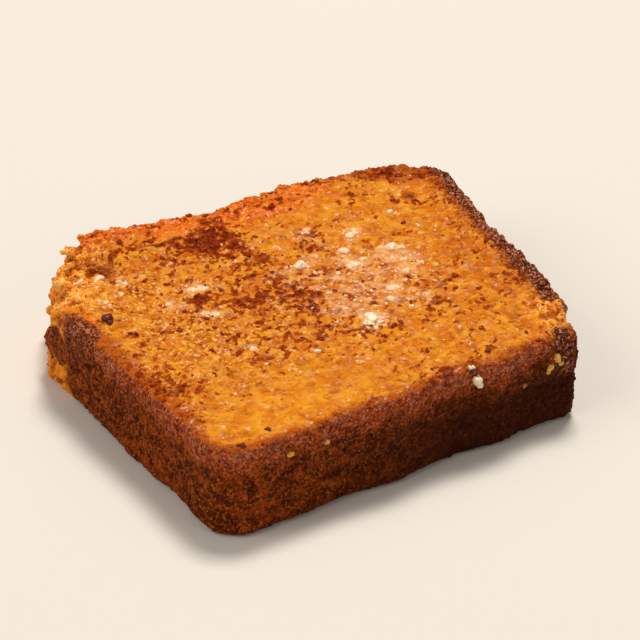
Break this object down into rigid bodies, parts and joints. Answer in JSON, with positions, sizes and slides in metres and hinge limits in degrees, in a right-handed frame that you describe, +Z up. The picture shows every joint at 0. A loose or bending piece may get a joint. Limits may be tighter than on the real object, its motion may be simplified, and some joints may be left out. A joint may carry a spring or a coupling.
{
  "type": "griddled cornbread slice",
  "caption": "Thick griddled slice of loaf-pan cornbread, buttered on its upper cut face, with a broken back-left corner and a dark crust on its sides.",
  "frame": {"origin": "middle of the footprint, on the underside that the slice rests on", "axes": "+X along the pan-bottom crust, to the right as the camera sees it; +Y towards the domed top crust of the loaf; +Z up, out of the buttered cut face"},
  "size_m": [0.12, 0.1084, 0.0267],
  "materials": {
    "griddled_crumb": "golden cornmeal crumb browned on a griddle and glossy with butter, with dark brown crust on the sides",
    "browned_crust": "dark reddish-brown toasted flakes and crust",
    "butter": "soft, half-melted butter, glossy"
  },
  "bodies": {
    "root": {"cornbread": "griddled_crumb"}
  },
  "joints": []
}
